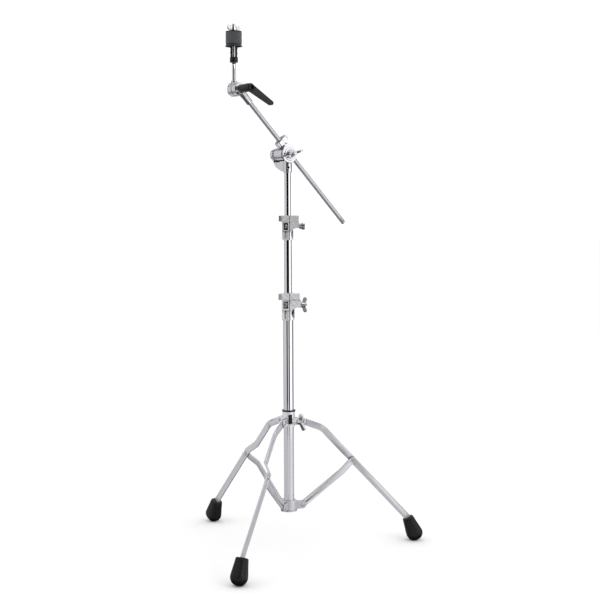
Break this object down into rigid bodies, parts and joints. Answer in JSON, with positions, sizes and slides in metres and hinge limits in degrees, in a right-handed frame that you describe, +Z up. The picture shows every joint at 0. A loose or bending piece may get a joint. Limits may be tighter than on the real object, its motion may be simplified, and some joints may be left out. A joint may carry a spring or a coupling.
{
  "type": "cymbal boom stand",
  "caption": "Folding tripod stand with telescoping tubes, a tilting and sliding boom arm, and a padded seat that holds a cymbal on a threaded rod.",
  "frame": {"origin": "on the floor, on the axis of the pole", "axes": "+Z up along the pole, +X towards the right leg's side, the height clamps open towards -Y"},
  "size_m": [0.5503, 0.5743, 1.2641],
  "materials": {
    "tube_chrome": "polished chrome plate",
    "strap_chrome": "bright chrome plate on pressed steel strap",
    "cast_chrome": "chrome plate on die castings",
    "arm_satin": "satin chrome, finely knurled",
    "fastener_steel": "bright zinc plate",
    "black_steel": "black oxide",
    "black_nylon": "moulded black nylon",
    "felt": "dark grey pressed wool felt",
    "rubber": "matt black rubber"
  },
  "bodies": {
    "base": {"lower_tube": "tube_chrome", "base_bracket": "strap_chrome", "bracket_rivets": "fastener_steel", "lower_clamp": "cast_chrome", "lower_clamp_bushing": "black_nylon", "lower_clamp_bolt": "fastener_steel"},
    "lower_wing_nut": {"lower_wing_nut": "cast_chrome"},
    "collar": {"leg_collar": "cast_chrome", "collar_bushing": "black_nylon", "collar_rivets": "fastener_steel"},
    "collar_wing_bolt": {"collar_wing_bolt": "cast_chrome"},
    "middle_section": {"middle_tube": "tube_chrome", "lower_lock_ring": "cast_chrome", "lower_lock_screw": "fastener_steel", "upper_clamp": "cast_chrome", "upper_clamp_bushing": "black_nylon", "upper_clamp_bolt": "fastener_steel"},
    "upper_wing_nut": {"upper_wing_nut": "cast_chrome"},
    "upper_lock": {"upper_lock_ring": "cast_chrome", "upper_lock_screw": "fastener_steel"},
    "upper_section": {"upper_tube": "tube_chrome", "tilter_base": "cast_chrome", "tilter_base_screw": "black_steel", "tilter_bolt": "fastener_steel", "tilter_front_disc": "cast_chrome"},
    "tilter_wing_nut": {"tilter_wing_nut": "cast_chrome"},
    "boom_clamp": {"boom_clamp": "cast_chrome"},
    "boom_lock": {"boom_lock_ring": "cast_chrome", "boom_lock_screw": "fastener_steel"},
    "boom_arm": {"boom_arm": "arm_satin", "boom_end_plug": "tube_chrome", "boom_end_holder": "cast_chrome", "holder_screws": "black_steel", "rod_tilter_bolt": "fastener_steel"},
    "cymbal_rod": {"rod_holder": "cast_chrome", "rod_holder_screw": "fastener_steel", "cymbal_rod": "tube_chrome", "cup_washer": "black_steel", "cymbal_sleeve": "black_nylon", "lower_felt": "felt", "upper_felt": "felt", "top_washer": "black_steel"},
    "seat_wing_nut": {"seat_wing_nut": "black_nylon"},
    "top_wing_nut": {"top_wing_nut": "cast_chrome"},
    "lever_core": {"lever_insert": "fastener_steel", "lever_screw": "fastener_steel", "lever_spring": "fastener_steel"},
    "tilter_lever": {"tilter_lever": "black_nylon"},
    "brace_right": {"brace_right": "strap_chrome"},
    "leg_right": {"leg_right": "strap_chrome", "knee_rivet_right": "fastener_steel", "foot_right": "rubber"},
    "brace_left": {"brace_left": "strap_chrome"},
    "leg_left": {"leg_left": "strap_chrome", "knee_rivet_left": "fastener_steel", "foot_left": "rubber"},
    "brace_front": {"brace_front": "strap_chrome"},
    "leg_front": {"leg_front": "strap_chrome", "knee_rivet_front": "fastener_steel", "foot_front": "rubber"}
  },
  "joints": [
    {"name": "leg_fold", "type": "hinge", "parent": "base", "child": "brace_right", "pos_m": [0.03275, 0.00402, 0.105], "axis": [0.1219, -0.9925, 0], "range_deg": [-8, 42.5]},
    {"name": "knee_right_turn", "type": "hinge", "parent": "brace_right", "child": "leg_right", "pos_m": [0.1603, 0.01968, 0.209], "axis": [0.1219, -0.9925, 0], "range_deg": [-85.4, 16.4]},
    {"name": "brace_left_turn", "type": "hinge", "parent": "base", "child": "brace_left", "pos_m": [-0.01986, 0.02635, 0.105], "axis": [0.7986, 0.6018, 0], "range_deg": [-8.2, 42.7]},
    {"name": "knee_left_turn", "type": "hinge", "parent": "brace_left", "child": "leg_left", "pos_m": [-0.09719, 0.12898, 0.209], "axis": [0.7986, 0.6018, 0], "range_deg": [-85.4, 16.4]},
    {"name": "brace_front_turn", "type": "hinge", "parent": "base", "child": "brace_front", "pos_m": [-0.01289, -0.03038, 0.105], "axis": [-0.9205, 0.3907, 0], "range_deg": [-8.2, 42.7]},
    {"name": "knee_front_turn", "type": "hinge", "parent": "brace_front", "child": "leg_front", "pos_m": [-0.0631, -0.14866, 0.209], "axis": [-0.9205, 0.3907, 0], "range_deg": [-85.4, 16.4]},
    {"name": "collar_turn", "type": "hinge", "parent": "leg_right", "child": "collar", "pos_m": [0.03275, 0.00402, 0.313], "axis": [0.1219, -0.9925, 0], "range_deg": [-8.2, 42.7]},
    {"name": "collar_wing_bolt_turn", "type": "hinge", "parent": "collar", "child": "collar_wing_bolt", "pos_m": [0.01532, -0.01286, 0.315], "axis": [0.766, -0.6428, 0], "continuous": true},
    {"name": "lower_wing_nut_turn", "type": "hinge", "parent": "base", "child": "lower_wing_nut", "pos_m": [0.0312, -0.0195, 0.6005], "axis": [1, 0, 0], "continuous": true},
    {"name": "lower_height", "type": "slide", "parent": "base", "child": "middle_section", "axis": [0, 0, 1], "range_m": [0, 0.19]},
    {"name": "upper_wing_nut_turn", "type": "hinge", "parent": "middle_section", "child": "upper_wing_nut", "pos_m": [0.0275, -0.016, 0.7894], "axis": [1, 0, 0], "continuous": true},
    {"name": "upper_height", "type": "slide", "parent": "middle_section", "child": "upper_lock", "axis": [0, 0, 1], "range_m": [0, 0.2]},
    {"name": "boom_pan", "type": "hinge", "parent": "upper_lock", "child": "upper_section", "pos_m": [0, 0, 0.8084], "axis": [0, 0, 1], "continuous": true},
    {"name": "tilter_wing_nut_turn", "type": "hinge", "parent": "upper_section", "child": "tilter_wing_nut", "pos_m": [0.00782, -0.01076, 0.962], "axis": [0.5878, -0.809, 0], "continuous": true},
    {"name": "boom_tilt", "type": "hinge", "parent": "upper_section", "child": "boom_clamp", "pos_m": [0, 0, 0.962], "axis": [0.5878, -0.809, 0], "range_deg": [-19, 60]},
    {"name": "boom_slide", "type": "slide", "parent": "boom_clamp", "child": "boom_lock", "axis": [-0.567, -0.412, 0.7133], "range_m": [0, 0.18]},
    {"name": "boom_twist", "type": "hinge", "parent": "boom_lock", "child": "boom_arm", "pos_m": [-0.00013, 0.01474, 0.97041], "axis": [-0.567, -0.412, 0.7133], "continuous": true},
    {"name": "rod_tilt", "type": "hinge", "parent": "boom_arm", "child": "cymbal_rod", "pos_m": [-0.10495, -0.07625, 1.11113], "axis": [0.5878, -0.809, 0], "range_deg": [-75, 75]},
    {"name": "seat_nut_turn", "type": "hinge", "parent": "cymbal_rod", "child": "seat_wing_nut", "pos_m": [-0.12435, -0.04956, 1.19114], "axis": [0, 0, 1], "continuous": true},
    {"name": "top_nut_turn", "type": "hinge", "parent": "cymbal_rod", "child": "top_wing_nut", "pos_m": [-0.12435, -0.04956, 1.25114], "axis": [0, 0, 1], "continuous": true},
    {"name": "lever_turn", "type": "hinge", "parent": "boom_arm", "child": "lever_core", "pos_m": [-0.10495, -0.07625, 1.11113], "axis": [0.5878, -0.809, 0], "continuous": true},
    {"name": "lever_lift", "type": "slide", "parent": "lever_core", "child": "tilter_lever", "axis": [0.5878, -0.809, 0], "range_m": [0, 0.004], "stiffness_N_per_m": 500}
  ],
  "couplings": [
    {"joint": "knee_right_turn", "follows": "leg_fold", "ratio": -2},
    {"joint": "brace_left_turn", "follows": "leg_fold", "ratio": 1},
    {"joint": "knee_left_turn", "follows": "leg_fold", "ratio": -2},
    {"joint": "brace_front_turn", "follows": "leg_fold", "ratio": 1},
    {"joint": "knee_front_turn", "follows": "leg_fold", "ratio": -2},
    {"joint": "collar_turn", "follows": "leg_fold", "ratio": 1}
  ]
}
